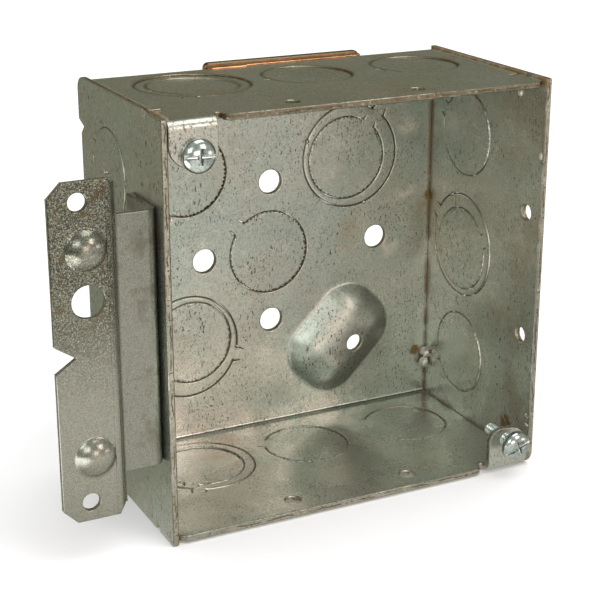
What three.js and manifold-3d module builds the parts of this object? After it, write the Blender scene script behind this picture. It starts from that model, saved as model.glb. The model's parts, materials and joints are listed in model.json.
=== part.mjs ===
// A welded steel junction box, 4 in square and 2-1/8 in deep, with a stud bracket on its left side.
// Millimetres. +X is right, +Y runs from the open front to the rear and +Z is up.
// The origin is the centre of the box's rear face, so the opening lies in the plane Y = FRONT.
import * as THREE from "three";
import { mergeVertices } from "three/addons/utils/BufferGeometryUtils.js";
import Module from "manifold-3d";

// ---- driving dimensions ----
const INCH = 25.4;
const SHEET = INCH / 16; // every pressed piece is 1/16 in steel
const HALF = 2 * INCH; // half of the 4 in square
const DEPTH = 2.125 * INCH;
const FRONT = -DEPTH;
const INNER = HALF - SHEET; // from the centre to a wall's inner face
const WELD_GAP = 0.1; // seam left between welded neighbours
const BEND = 1.1; // inner radius of a bend
const CHANNEL_HALF = INNER - WELD_GAP; // half width of the channel, between the side plates
const EDGE_OVERCUT = 1; // how far a cutter runs past the face it cuts

// side plates, welded to the ends of the channel
const SIDE_PROUD = 0.6; // the plates stand this far above and below the channel
const LUG = { reach: 1.55, foot: 40.6, notchTip: 39.3, notchFoot: 37.4, notchDepth: 2, corner: 3.4 };
const RIGHT_CORNER_RADIUS = 4;
const LEFT_NOTCH = { from: 8.5, to: 11, depth: 1.5 }; // distances from the front edge

// knockouts: half-inch discs and three-quarter-inch rings, sheared on a fine line
const DISC_RADIUS = 11.4;
const RING_RADIUS = 14.2;
const SHEAR_GAP = 0.15;
const WALL_ROW = 19.5; // knockout centres in the four walls, from the rear face
const SIDE_PITCH = 31;
const CHANNEL_PITCH = 30.7;
const CHANNEL_SHIFT = 1.7; // the rows in the top and bottom sit a little to the right
const BACK_PITCH = 24;
const PRY_SLOT = { length: 7, width: 1 };

// small holes
const FIXING_RADIUS = 3.2; // screw holes through the back
const FIXING_PITCH = 19.3;
const FIXING_RIGHT = 32;
const RIM_HOLE = { radius: 2, spacing: 16.4, fromFront: 6 };

// raised boss for the ground screw, an oval pressed inwards across one corner of the back
const BOSS = { x: 20.5, z: -27.7, length: 31.2, width: 23.2, corner: 9.5, side: 7, rise: 4.5 };
const BOSS_HOLE = { x: 23.6, z: -28.7, radius: 2.4 };

// ears for the cover screws, folded from the top and bottom walls
const EAR = { width: 11.8, drop: 11.6, outerCorner: 6, innerCorner: 3.5 };
const EAR_RELIEF = { width: 1.8, depth: 3.2 };
const CORNER_CUT = 2; // chamfer on the front corners that have no ear
const KEY_SLOT = { length: 3, width: 1.4, fromFront: 10.4 };
const COVER_SCREW = { at: 42.4, head: 4, crown: 2.5, headRim: 0.7, shank: 1.95, length: 12, backedOut: 3.8 };
const SCREW_RECESS = { halfWidth: 0.55, slotDepth: 1.1, crossHalfLength: 1.9, crossDepth: 1.4 };
const SCREW_CLEARANCE = 0.2;

// the bracket: a flange level with the opening, a step back, and a leg on the left side plate
const FLANGE = {
  left: -76.9,
  right: -60.8,
  halfHeight: 39.7,
  bevel: 3.4,
  foldAt: -62.2, // where the flange starts to step back
  foldHalfHeight: 38.2,
  reliefFrom: -63.5,
  reliefTo: -62.5,
};
const FLANGE_NOTCH = { depth: 4.9, halfHeight: 3.2 };
const STEP_BACK = 2.7;
const LEG = { halfHeight: 30.7, depth: 18.9 };
const NAIL_HOLE = { x: -70.2, z: 35.1, radius: 2.1 };
const BIG_HOLE = { x: -68.7, z: 12.6, radius: 3.8 };
const DIMPLE = { x: -68.7, z: 24.3, radius: 4.8, height: 2 };

// strip welded along the top of the rear face
const STRIP = { left: -17.5, right: 27, top: HALF + 1, height: 10, corner: 1.5 };

const ROUND = 28; // segments of a knockout
const SMALL_ROUND = 12; // segments of a small hole

const X = new THREE.Vector3(1, 0, 0);
const Y = new THREE.Vector3(0, 1, 0);
const Z = new THREE.Vector3(0, 0, 1);
const FROM_REAR = Y.clone().negate();

// ---- joining and cutting ----
const wasm = await Module();
wasm.setup();

function solid(geometry) {
  const bare = geometry.clone();
  bare.deleteAttribute("normal");
  bare.deleteAttribute("uv");
  const merged = mergeVertices(bare, 1e-4);
  return new wasm.Manifold(
    new wasm.Mesh({
      numProp: 3,
      vertProperties: merged.attributes.position.array,
      triVerts: new Uint32Array(merged.index.array),
    }),
  );
}

function geometryOf(manifold) {
  const mesh = manifold.getMesh();
  const geometry = new THREE.BufferGeometry();
  geometry.setAttribute("position", new THREE.BufferAttribute(mesh.vertProperties, 3));
  geometry.setIndex(new THREE.BufferAttribute(mesh.triVerts, 1));
  geometry.computeVertexNormals();
  return geometry;
}

// ---- basic shapes ----

// A box from its lowest to its highest corner.
function block(low, high) {
  const size = high.map((value, i) => value - low[i]);
  const box = new THREE.BoxGeometry(...size);
  box.translate(...low.map((value, i) => value + size[i] / 2));
  return solid(box);
}

// A round bar around `axis`, from distance `from` to distance `to` beyond `centre`.
function bar(centre, axis, from, to, radius, segments) {
  const cylinder = new THREE.CylinderGeometry(radius, radius, to - from, segments);
  cylinder.translate(0, (from + to) / 2, 0);
  cylinder.applyQuaternion(new THREE.Quaternion().setFromUnitVectors(Y, axis));
  cylinder.translate(centre.x, centre.y, centre.z);
  return solid(cylinder);
}

// An outline pushed along `normal`; its own x and y run along `right` and `normal` x `right`.
function extrude(shape, right, normal, from, to, options = {}) {
  const geometry = new THREE.ExtrudeGeometry(shape, {
    depth: to - from,
    bevelEnabled: false,
    curveSegments: 6,
    ...options,
  });
  geometry.translate(0, 0, from);
  const up = new THREE.Vector3().crossVectors(normal, right);
  geometry.applyMatrix4(new THREE.Matrix4().makeBasis(right, up, normal));
  return solid(geometry);
}

// An outline in (y, z), an outline in (x, z) and one in (x, y), each made solid across the third axis.
const sideView = (shape, lowX, highX) => extrude(shape, Y, X, lowX, highX);
const frontView = (shape, lowY, highY) => extrude(shape, X, FROM_REAR, -highY, -lowY);
const topView = (shape, lowZ, highZ) => extrude(shape, X, Z, lowZ, highZ);

// A closed outline through points; a point's third number rounds that corner.
function outline(points) {
  const shape = new THREE.Shape();
  const count = points.length;
  points.forEach(([x, y, radius = 0], i) => {
    const corner = new THREE.Vector2(x, y);
    const before = new THREE.Vector2(...points[(i + count - 1) % count]);
    const after = new THREE.Vector2(...points[(i + 1) % count]);
    const start = corner.clone().add(before.sub(corner).setLength(radius));
    const end = corner.clone().add(after.sub(corner).setLength(radius));
    if (i === 0) shape.moveTo(start.x, start.y);
    else shape.lineTo(start.x, start.y);
    if (radius > 0) shape.quadraticCurveTo(corner.x, corner.y, end.x, end.y);
  });
  shape.closePath();
  return shape;
}

// The section of a sheet folded along a path. The path is the sheet's face on its right-hand
// side; the thickness lies to the left of it, and every bend keeps the inner radius BEND.
function foldedSheet(path) {
  const steps = 4;
  const face = [];
  const leftOf = (direction) => new THREE.Vector2(-direction.y, direction.x);
  const points = path.map(([x, y]) => new THREE.Vector2(x, y));
  const directions = points.slice(1).map((p, i) => p.clone().sub(points[i]).normalize());
  face.push([points[0], leftOf(directions[0])]);
  for (let i = 1; i < points.length - 1; i += 1) {
    const [before, after] = [directions[i - 1], directions[i]];
    const turn = Math.atan2(before.cross(after), before.dot(after));
    const radius = turn > 0 ? BEND + SHEET : BEND;
    const start = points[i].clone().addScaledVector(before, -radius * Math.tan(Math.abs(turn) / 2));
    const centre = start.clone().addScaledVector(leftOf(before), radius * Math.sign(turn));
    for (let k = 0; k <= steps; k += 1) {
      const angle = (turn * k) / steps;
      const place = start.clone().rotateAround(centre, angle);
      face.push([place, leftOf(before).rotateAround(new THREE.Vector2(), angle)]);
    }
  }
  face.push([points.at(-1), leftOf(directions.at(-1))]);
  const otherFace = face.map(([place, normal]) => place.clone().addScaledVector(normal, SHEET));
  return new THREE.Shape([...face.map(([place]) => place), ...otherFace.reverse()]);
}

// ---- the five walls ----
// outer: the point from which places on the wall's outer face are measured; out: its outward normal.
// A place is [distance along `along`, distance along `across`].
const walls = {
  back: { outer: new THREE.Vector3(), out: Y, along: X, across: Z },
  top: { outer: new THREE.Vector3(0, 0, HALF), out: Z, along: X, across: FROM_REAR },
  bottom: { outer: new THREE.Vector3(0, 0, -HALF), out: Z.clone().negate(), along: X, across: FROM_REAR },
  left: { outer: new THREE.Vector3(-HALF, 0, 0), out: X.clone().negate(), along: Z, across: FROM_REAR },
  right: { outer: new THREE.Vector3(HALF, 0, 0), out: X, along: Z, across: FROM_REAR },
};

function placeOn(wall, [a, b]) {
  return wall.outer.clone().addScaledVector(wall.along, a).addScaledVector(wall.across, b);
}

// A round hole straight through a wall.
function wallHole(wall, place, radius, segments) {
  return bar(placeOn(wall, place), wall.out, -SHEET - EDGE_OVERCUT, EDGE_OVERCUT, radius, segments);
}

function cutAll(body, cutters) {
  return cutters.reduce((rest, cutter) => rest.subtract(cutter), body);
}

// ---- knockouts ----
// `disc` and `ring` are the places of their centres; a knockout without a ring is a single disc.
const knockouts = [
  { name: "back_upper_left", wall: "back", disc: [-BACK_PITCH, BACK_PITCH] },
  {
    name: "back_upper_right",
    wall: "back",
    disc: [BACK_PITCH - 1.3, BACK_PITCH - 0.7],
    ring: [BACK_PITCH - 0.2, BACK_PITCH - 0.2],
  },
  {
    name: "back_lower_left",
    wall: "back",
    disc: [-BACK_PITCH + 0.6, -BACK_PITCH + 1.8],
    ring: [-BACK_PITCH - 0.3, -BACK_PITCH + 0.7],
  },
  { name: "back_centre", wall: "back", disc: [-0.6, 0] },
];
for (const wall of ["top", "bottom"]) {
  const left = [CHANNEL_SHIFT - CHANNEL_PITCH, WALL_ROW];
  knockouts.push(
    { name: `${wall}_left`, wall, disc: left, ring: left },
    { name: `${wall}_middle`, wall, disc: [CHANNEL_SHIFT, WALL_ROW] },
    { name: `${wall}_right`, wall, disc: [CHANNEL_SHIFT + CHANNEL_PITCH, WALL_ROW] },
  );
}
for (const wall of ["left", "right"]) {
  const slot = wall === "left";
  knockouts.push(
    { name: `${wall}_upper`, wall, disc: [SIDE_PITCH, WALL_ROW], slot },
    { name: `${wall}_middle`, wall, disc: [-1, WALL_ROW - 0.6], ring: [0, WALL_ROW - 0.6] },
    { name: `${wall}_lower`, wall, disc: [-SIDE_PITCH, WALL_ROW], slot },
  );
}

function knockoutHoles(wallName) {
  return knockouts
    .filter((knockout) => knockout.wall === wallName)
    .map(({ disc, ring }) =>
      wallHole(walls[wallName], ring ?? disc, ring ? RING_RADIUS : DISC_RADIUS, ROUND),
    );
}

function knockoutDisc({ wall, disc, slot }) {
  const place = placeOn(walls[wall], disc);
  const body = bar(place, walls[wall].out, -SHEET, 0, DISC_RADIUS - SHEAR_GAP, ROUND);
  if (!slot) return body;
  const [halfLength, halfWidth] = [PRY_SLOT.length / 2, PRY_SLOT.width / 2];
  return body.subtract(
    block(
      [place.x - SHEET - EDGE_OVERCUT, place.y - halfLength, place.z - halfWidth],
      [place.x + SHEET + EDGE_OVERCUT, place.y + halfLength, place.z + halfWidth],
    ),
  );
}

function knockoutRing({ wall, disc, ring }) {
  const place = placeOn(walls[wall], ring);
  const blank = bar(place, walls[wall].out, -SHEET, 0, RING_RADIUS - SHEAR_GAP, ROUND);
  return blank.subtract(wallHole(walls[wall], disc, DISC_RADIUS, ROUND));
}

// ---- box channel: back, top and bottom folded from one sheet ----

// Half of a rounded pillow, standing on the rear plane. Its flat top is the boss's, its sides curve
// down over `side`, and it reaches `rise` towards the front.
function bossPillow(side, rise) {
  const [along, across] = [BOSS.length / 2 - BOSS.side, BOSS.width / 2 - BOSS.side];
  const corner = BOSS.corner - BOSS.side;
  const top = outline([
    [-along, -across, corner],
    [along, -across, corner],
    [along, across, corner],
    [-along, across, corner],
  ]);
  const diagonal = new THREE.Vector3(1, 0, 1).normalize();
  const core = 0.2;
  const pillow = extrude(top, diagonal, FROM_REAR, -core / 2, core / 2, {
    bevelEnabled: true,
    bevelSize: side,
    bevelThickness: rise - core / 2,
    bevelSegments: 5,
    curveSegments: 5,
  });
  const frontHalf = block([-BOSS.length, -2 * rise, -BOSS.length], [BOSS.length, 0, BOSS.length]);
  return pillow.intersect(frontHalf).translate([BOSS.x, 0, BOSS.z]);
}

// The upper left ear; the lower right one is the same, turned half round.
function ear() {
  const [left, top] = [-CHANNEL_HALF, HALF];
  const right = left + EAR.width;
  const foot = top - EAR.drop;
  const behind = FRONT + EAR_RELIEF.depth + EDGE_OVERCUT;
  const fold = sideView(foldedSheet([[behind, top], [FRONT, top], [FRONT, foot]]), left, right);
  const face = outline([
    [left, foot, EAR.outerCorner],
    [right, foot, EAR.innerCorner],
    [right, top + EDGE_OVERCUT],
    [left, top + EDGE_OVERCUT],
  ]);
  const hole = bar(
    new THREE.Vector3(-COVER_SCREW.at, FRONT, COVER_SCREW.at),
    Y,
    -EDGE_OVERCUT,
    SHEET + EDGE_OVERCUT,
    COVER_SCREW.shank + SCREW_CLEARANCE,
    SMALL_ROUND,
  );
  return fold.intersect(frontView(face, FRONT - EDGE_OVERCUT, behind + EDGE_OVERCUT)).subtract(hole);
}

// The front edge of the wall is cut away where the ear folds down from it.
function earRoom() {
  const right = -CHANNEL_HALF + EAR.width + EAR_RELIEF.width;
  return block(
    [-CHANNEL_HALF - EDGE_OVERCUT, FRONT - EDGE_OVERCUT, INNER - EDGE_OVERCUT],
    [right, FRONT + EAR_RELIEF.depth, HALF + EDGE_OVERCUT],
  );
}

// The chamfer of the lower left front corner; the upper right one is the same, turned half round.
function cornerCut() {
  const edge = -CHANNEL_HALF;
  const corner = outline([
    [edge - EDGE_OVERCUT, FRONT - EDGE_OVERCUT],
    [edge + CORNER_CUT + EDGE_OVERCUT, FRONT - EDGE_OVERCUT],
    [edge - EDGE_OVERCUT, FRONT + CORNER_CUT + EDGE_OVERCUT],
  ]);
  return topView(corner, -HALF - EDGE_OVERCUT, -INNER + EDGE_OVERCUT);
}

// Slots in the ends of the top and bottom walls, where the side plates are keyed.
function keySlots() {
  const slots = [];
  for (const side of [-1, 1]) {
    for (const level of [-1, 1]) {
      const end = side * (CHANNEL_HALF + EDGE_OVERCUT);
      const inside = side * (CHANNEL_HALF - KEY_SLOT.length);
      const place = level * (HALF - SHEET / 2);
      slots.push(
        block(
          [Math.min(end, inside), FRONT + KEY_SLOT.fromFront, place - SHEET],
          [Math.max(end, inside), FRONT + KEY_SLOT.fromFront + KEY_SLOT.width, place + SHEET],
        ),
      );
    }
  }
  return slots;
}

function boxChannel() {
  const path = [[FRONT, -HALF], [0, -HALF], [0, HALF], [FRONT, HALF]];
  let channel = sideView(foldedSheet(path), -CHANNEL_HALF, CHANNEL_HALF);
  channel = cutAll(channel, ["back", "top", "bottom"].flatMap(knockoutHoles));
  const fixings = [[0, FIXING_PITCH], [0, -FIXING_PITCH], [-FIXING_PITCH, 0], [FIXING_RIGHT, 0]];
  channel = cutAll(
    channel,
    fixings.map((place) => wallHole(walls.back, place, FIXING_RADIUS, SMALL_ROUND)),
  );
  for (const wall of [walls.top, walls.bottom]) {
    channel = cutAll(channel, rimHoles(wall));
  }
  channel = cutAll(channel, keySlots());

  const halfTurn = [0, 180, 0];
  const cuts = [earRoom(), cornerCut()];
  channel = cutAll(channel, [...cuts, ...cuts.map((cut) => cut.rotate(halfTurn))]);
  channel = channel.add(ear()).add(ear().rotate(halfTurn));

  const shell = bossPillow(BOSS.side, BOSS.rise + SHEET);
  const hollow = bossPillow(BOSS.side - SHEET, BOSS.rise);
  const screwHole = bar(
    new THREE.Vector3(BOSS_HOLE.x, 0, BOSS_HOLE.z),
    FROM_REAR,
    -EDGE_OVERCUT,
    BOSS.rise + SHEET + EDGE_OVERCUT,
    BOSS_HOLE.radius,
    SMALL_ROUND,
  );
  return channel.add(shell).subtract(hollow).subtract(screwHole);
}

// The pair of small holes near the front edge of a wall.
function rimHoles(wall) {
  return [-RIM_HOLE.spacing, RIM_HOLE.spacing].map((along) =>
    wallHole(wall, [along, DEPTH - RIM_HOLE.fromFront], RIM_HOLE.radius, SMALL_ROUND),
  );
}

// ---- side plates ----
const PLATE_TOP = HALF + SIDE_PROUD;

function rightPlate() {
  const shape = outline([
    [FRONT, -PLATE_TOP, RIGHT_CORNER_RADIUS],
    [0, -PLATE_TOP],
    [0, PLATE_TOP],
    [FRONT, PLATE_TOP],
  ]);
  const plate = sideView(shape, INNER, HALF);
  return cutAll(plate, [...knockoutHoles("right"), ...rimHoles(walls.right)]);
}

// The left plate has a lug at its upper rear corner and a notch in its lower edge.
function leftPlate() {
  const shape = outline([
    [FRONT, -PLATE_TOP],
    [FRONT + LEFT_NOTCH.from, -PLATE_TOP],
    [FRONT + LEFT_NOTCH.from, -PLATE_TOP + LEFT_NOTCH.depth],
    [FRONT + LEFT_NOTCH.to, -PLATE_TOP + LEFT_NOTCH.depth],
    [FRONT + LEFT_NOTCH.to, -PLATE_TOP],
    [0, -PLATE_TOP],
    [0, LUG.notchFoot],
    [-LUG.notchDepth, LUG.notchTip],
    [LUG.reach, LUG.foot],
    [LUG.reach, PLATE_TOP, LUG.corner],
    [FRONT + LEFT_NOTCH.to, PLATE_TOP],
    [FRONT + LEFT_NOTCH.from, HALF],
    [FRONT, HALF],
  ]);
  const plate = sideView(shape, -HALF, -INNER);
  return cutAll(plate, knockoutHoles("left"));
}

// ---- stud bracket ----
function studBracket() {
  const stepLean = THREE.MathUtils.degToRad(70);
  const stepBehind = FRONT + STEP_BACK;
  const legFace = -HALF - WELD_GAP;
  const section = foldedSheet([
    [FLANGE.left, FRONT],
    [FLANGE.foldAt, FRONT],
    [FLANGE.foldAt + STEP_BACK / Math.tan(stepLean), stepBehind],
    [legFace, stepBehind],
    [legFace, FRONT + LEG.depth],
  ]);
  const { left, right, halfHeight, foldHalfHeight, bevel } = FLANGE;
  const upperHalf = [
    [left, FLANGE_NOTCH.halfHeight],
    [left, halfHeight - bevel],
    [left + bevel, halfHeight],
    [FLANGE.reliefFrom, halfHeight],
    [FLANGE.reliefTo, foldHalfHeight],
    [right, foldHalfHeight],
    [right, LEG.halfHeight],
    [-HALF, LEG.halfHeight],
  ];
  const lowerHalf = upperHalf.map(([x, z]) => [x, -z]).reverse();
  const notchTip = [left + FLANGE_NOTCH.depth, 0];
  const face = outline([notchTip, ...upperHalf, ...lowerHalf]);
  const blank = topView(section, -halfHeight, halfHeight).intersect(
    frontView(face, FRONT - EDGE_OVERCUT, FRONT + LEG.depth + EDGE_OVERCUT),
  );
  const flangeHole = (x, z, radius) =>
    bar(new THREE.Vector3(x, FRONT, z), Y, -EDGE_OVERCUT, SHEET + EDGE_OVERCUT, radius, SMALL_ROUND);
  const holes = [
    flangeHole(NAIL_HOLE.x, NAIL_HOLE.z, NAIL_HOLE.radius),
    flangeHole(NAIL_HOLE.x, -NAIL_HOLE.z, NAIL_HOLE.radius),
    flangeHole(BIG_HOLE.x, BIG_HOLE.z, BIG_HOLE.radius),
  ];
  return [DIMPLE.z, -DIMPLE.z].reduce(addDimple, cutAll(blank, holes));
}

// A round dimple pressed forwards out of the flange, hollow behind.
function addDimple(flange, height) {
  const { x, radius, height: rise } = DIMPLE;
  const ballRadius = (radius ** 2 + rise ** 2) / (2 * rise);
  const ball = (r) => {
    const sphere = new THREE.SphereGeometry(r, 20, 16);
    sphere.rotateX(Math.PI / 2);
    sphere.translate(x, FRONT - rise + ballRadius, height);
    return solid(sphere);
  };
  const [left, right] = [x - radius, x + radius];
  const [foot, top] = [height - radius, height + radius];
  const cap = block([left, FRONT - rise - EDGE_OVERCUT, foot], [right, FRONT, top]);
  const behind = block([left, FRONT - rise, foot], [right, FRONT + SHEET + EDGE_OVERCUT, top]);
  const dome = ball(ballRadius).intersect(cap);
  const hollow = ball(ballRadius - SHEET).intersect(behind);
  return flange.add(dome).subtract(hollow);
}

// ---- strip along the rear top edge ----
function rearTopStrip() {
  const foot = STRIP.top - STRIP.height;
  const shape = outline([
    [STRIP.left, foot],
    [STRIP.right, foot],
    [STRIP.right, STRIP.top, STRIP.corner],
    [STRIP.left, STRIP.top, STRIP.corner],
  ]);
  return frontView(shape, WELD_GAP, WELD_GAP + SHEET);
}

// ---- cover screws ----
// A round-head screw, its head's seat at the origin and its crown towards the front,
// with a slot crossed by a shorter recess.
function coverScrew() {
  const { head, crown, headRim, shank, length } = COVER_SCREW;
  const { halfWidth, slotDepth, crossHalfLength, crossDepth } = SCREW_RECESS;
  const crownPoints = [0, 1, 2, 3, 4].map((i) => {
    const angle = (i / 4) * (Math.PI / 2);
    return new THREE.Vector2(head * Math.cos(angle), headRim + (crown - headRim) * Math.sin(angle));
  });
  crownPoints.at(-1).x = 0;
  const profile = [
    new THREE.Vector2(0, -length),
    new THREE.Vector2(shank, -length),
    new THREE.Vector2(shank, 0),
    new THREE.Vector2(head, 0),
    ...crownPoints,
  ];
  const turned = new THREE.LatheGeometry(profile, SMALL_ROUND * 2);
  turned.applyQuaternion(new THREE.Quaternion().setFromUnitVectors(Y, FROM_REAR));
  const recess = (halfLength, depth) =>
    block([-halfLength, -crown - EDGE_OVERCUT, -halfWidth], [halfLength, -crown + depth, halfWidth]);
  const slot = recess(head + EDGE_OVERCUT, slotDepth);
  const cross = recess(crossHalfLength, crossDepth).rotate([0, 90, 0]);
  return solid(turned).subtract(slot).subtract(cross);
}

// ---- the assembly ----
const group = new THREE.Group();
const finishes = {
  galvanised: { color: 0x8d8f84, roughness: 0.42, metalness: 0.9 },
  bracket: { color: 0x9a9a8c, roughness: 0.5, metalness: 0.85 },
  copperTint: { color: 0xa08468, roughness: 0.35, metalness: 0.9 },
  screw: { color: 0xb9bcb6, roughness: 0.28, metalness: 1 },
};

function addPiece(name, manifold, finish) {
  const mesh = new THREE.Mesh(geometryOf(manifold), new THREE.MeshStandardMaterial(finishes[finish]));
  mesh.name = name;
  group.add(mesh);
  return mesh;
}

addPiece("box_channel", boxChannel(), "galvanised");
addPiece("side_plate_left", leftPlate(), "galvanised");
addPiece("side_plate_right", rightPlate(), "galvanised");
addPiece("stud_bracket", studBracket(), "bracket");
addPiece("rear_top_strip", rearTopStrip(), "copperTint");

for (const knockout of knockouts) {
  const name = `knockout_${knockout.name}`;
  if (knockout.ring) addPiece(`${name}_ring`, knockoutRing(knockout), "galvanised");
  addPiece(`${name}_disc`, knockoutDisc(knockout), "galvanised");
}

const upperScrew = addPiece("cover_screw_upper", coverScrew(), "screw");
upperScrew.position.set(-COVER_SCREW.at, FRONT - WELD_GAP, COVER_SCREW.at);
const lowerScrew = addPiece("cover_screw_lower", coverScrew(), "screw");
lowerScrew.position.set(COVER_SCREW.at, FRONT - WELD_GAP - COVER_SCREW.backedOut, -COVER_SCREW.at);

export default group;
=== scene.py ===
import json
import math

import bmesh
import bpy
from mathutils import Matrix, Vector
from mathutils.geometry import delaunay_2d_cdt

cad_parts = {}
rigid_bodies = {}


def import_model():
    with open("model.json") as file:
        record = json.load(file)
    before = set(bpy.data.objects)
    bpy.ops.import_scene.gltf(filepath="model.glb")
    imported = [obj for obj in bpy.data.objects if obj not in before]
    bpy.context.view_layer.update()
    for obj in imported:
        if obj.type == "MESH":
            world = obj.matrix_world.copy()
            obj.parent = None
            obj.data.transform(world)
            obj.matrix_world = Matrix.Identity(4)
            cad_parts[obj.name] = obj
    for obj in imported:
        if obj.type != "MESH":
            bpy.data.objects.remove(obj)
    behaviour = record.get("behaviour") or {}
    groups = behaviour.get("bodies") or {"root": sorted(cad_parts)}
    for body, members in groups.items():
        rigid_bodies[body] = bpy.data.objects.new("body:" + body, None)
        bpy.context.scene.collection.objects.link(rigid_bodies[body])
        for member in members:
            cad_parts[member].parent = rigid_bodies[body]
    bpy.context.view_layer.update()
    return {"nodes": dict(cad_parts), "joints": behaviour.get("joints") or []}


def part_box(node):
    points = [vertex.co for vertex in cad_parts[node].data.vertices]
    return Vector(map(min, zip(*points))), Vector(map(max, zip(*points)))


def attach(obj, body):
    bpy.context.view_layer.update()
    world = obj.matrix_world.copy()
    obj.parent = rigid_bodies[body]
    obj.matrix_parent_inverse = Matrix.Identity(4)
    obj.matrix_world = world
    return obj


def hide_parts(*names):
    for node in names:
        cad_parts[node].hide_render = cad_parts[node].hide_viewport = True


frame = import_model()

MM = 0.001


def corners(node):
    low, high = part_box(node)
    return low / MM, high / MM


# ---- dimensions taken from the frame ----
channel_low, channel_high = corners("box_channel")
FRONT = channel_low.y
HALF = channel_high.z
CHANNEL_HALF = channel_high.x
plate_low, plate_high = corners("side_plate_right")
SHEET = plate_high.x - plate_low.x
INNER = HALF - SHEET
PLATE_TOP = plate_high.z
bracket_low, bracket_high = corners("stud_bracket")

# ---- dimensions of the details ----
BEND = 1.1  # inner radius of every bend
INNER_ROUND = 0.42  # roll-over on the edges of the inner faces
OUTER_ROUND = 0.24
WALL_ROUND = 0.3  # on the edge a knockout leaves in its wall
BLANK_ROUND = 0.6  # on the knockout's own edge
ROUND_STEPS = 3
HOLE_GAP = 0.12  # between a knockout and the edge it was sheared from
TIE_WIDTH = 4.4
TIE_SLIT = 0.3  # width of the slits beside a tie, at the knockout's edge
TIE_REACH = 1.9  # how far the slits run past the knockout's edge
RINGED_TIE_REACH = 1.1  # the same for a disc in a ring
TIE_NARROWING = math.radians(3.4)
PUSHED_OUT, PUSHED_IN, TOP_PUSHED_IN = 0.35, 0.3, 0.45  # how far a knockout's free edge stands off its wall
FIXING_RADIUS = 3.2
FIXING_PITCH = 19.3
FIXING_RIGHT = 32
RIM_HOLE_RADIUS = 2
RIM_HOLE_SPACING = 16.4
RIM_HOLE_FROM_FRONT = 6
EAR_WIDTH, EAR_DROP = 11.8, 11.6
EAR_OUTER_CORNER, EAR_INNER_CORNER = 6, 3.5
EAR_HOLE_RADIUS = 2.15
RELIEF_WIDTH, RELIEF_DEPTH = 1.8, 3.2
CORNER_CUT = 2
KEY_LENGTH, KEY_WIDTH, KEY_FROM_FRONT = 3, 1.4, 10.4
BOSS_CENTRE = Vector((20.5, -27.7))
BOSS_LENGTH, BOSS_WIDTH, BOSS_CORNER = 31.2, 23.2, 9.5
BOSS_RISE, BOSS_ROUNDNESS, BOSS_FOOT = 4.5, 2.3, 0.5
BOSS_HOLE, BOSS_HOLE_RADIUS = Vector((23.6, -28.7)), 2.4
RIGHT_CORNER = 4
LUG_FOOT, LUG_TIP, LUG_NOTCH_FOOT, LUG_NOTCH = 40.6, 39.3, 37.4, 2
LUG_CORNER = 3.4
PLATE_NOTCH_FROM, PLATE_NOTCH_TO, PLATE_NOTCH_DEPTH = 8.5, 11, 1.5
PRY_SLOT_LENGTH, PRY_SLOT_WIDTH = 7, 1
FLANGE_FOLD = -62.2
FLANGE_BEVEL = 3.4
FLANGE_NOTCH_DEPTH, FLANGE_NOTCH_HALF = 4.9, 3.2
STEP_BACK = 2.7
STEP_LEAN = math.radians(70)
STEP_RIGHT = -60.8
STEP_HALF_HEIGHT = 38.2
FOLD_RELIEF_FROM, FOLD_RELIEF_TO = -63.5, -62.5
LEG_HALF_HEIGHT = 30.7
NAIL_HOLE, NAIL_HOLE_RADIUS = Vector((-70.2, 35.1)), 2.1
BIG_HOLE, BIG_HOLE_RADIUS = Vector((-68.7, 12.6)), 3.8
DIMPLE, DIMPLE_RADIUS, DIMPLE_RISE = Vector((-68.7, 24.3)), 4.9, 2
SCREW_CROWN, SCREW_RIM = 2.5, 0.7
SCREW_SHANK, SCREW_PITCH, SCREW_THREAD = 1.95, 0.79, 0.42


# ---- outlines in a flat plane ----
def circle(centre, radius, count=72):
    turn = 2 * math.pi / count
    return [
        centre + radius * Vector((math.cos(turn * i), math.sin(turn * i)))
        for i in range(count)
    ]


def rounded(points, steps=8):
    """A closed outline; a point's third number rounds that corner."""
    line = []
    for i, (x, y, *radius) in enumerate(points):
        corner = Vector((x, y))
        if not radius:
            line.append(corner)
            continue
        before = Vector(points[i - 1][:2]) - corner
        after = Vector(points[(i + 1) % len(points)][:2]) - corner
        half_angle = before.angle(after) / 2
        middle = (before.normalized() + after.normalized()).normalized()
        centre = corner + middle * radius[0] / math.sin(half_angle)
        start = corner + before.normalized() * radius[0] / math.tan(half_angle)
        end = corner + after.normalized() * radius[0] / math.tan(half_angle)
        first, last = start - centre, end - centre
        for step in range(steps + 1):
            share = step / steps
            spoke = first.lerp(last, share).normalized() * radius[0]
            line.append(centre + spoke)
    return line


def boss_depth(point):
    """How far a point of the back's plan lies inside the boss's foot; negative outside."""
    diagonal = Vector((1, 1)).normalized()
    offset = point - BOSS_CENTRE
    along = abs(offset.dot(diagonal)) - (BOSS_LENGTH / 2 - BOSS_CORNER)
    across = abs(offset.dot(diagonal.orthogonal())) - (BOSS_WIDTH / 2 - BOSS_CORNER)
    outside = math.hypot(max(along, 0.0), max(across, 0.0))
    return BOSS_CORNER - outside - min(max(along, across), 0.0)


def boss_ring(inset, count):
    """Points of the back's plan lying the same depth inside the boss's foot."""
    ring = []
    for i in range(count):
        spoke = heading_vector(2 * math.pi * i / count)
        near, far = 0.0, BOSS_LENGTH
        for _ in range(24):
            middle = (near + far) / 2
            if boss_depth(BOSS_CENTRE + spoke * middle) > inset:
                near = middle
            else:
                far = middle
        ring.append(BOSS_CENTRE + spoke * near)
    return ring


def smooth(low, high, value):
    share = max(0.0, min(1.0, (value - low) / (high - low)))
    return share * share * (3 - 2 * share)


# ---- folding ----
def heading_vector(angle):
    return Vector((math.cos(angle), math.sin(angle)))


def left_of(angle):
    return Vector((-math.sin(angle), math.cos(angle)))


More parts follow.
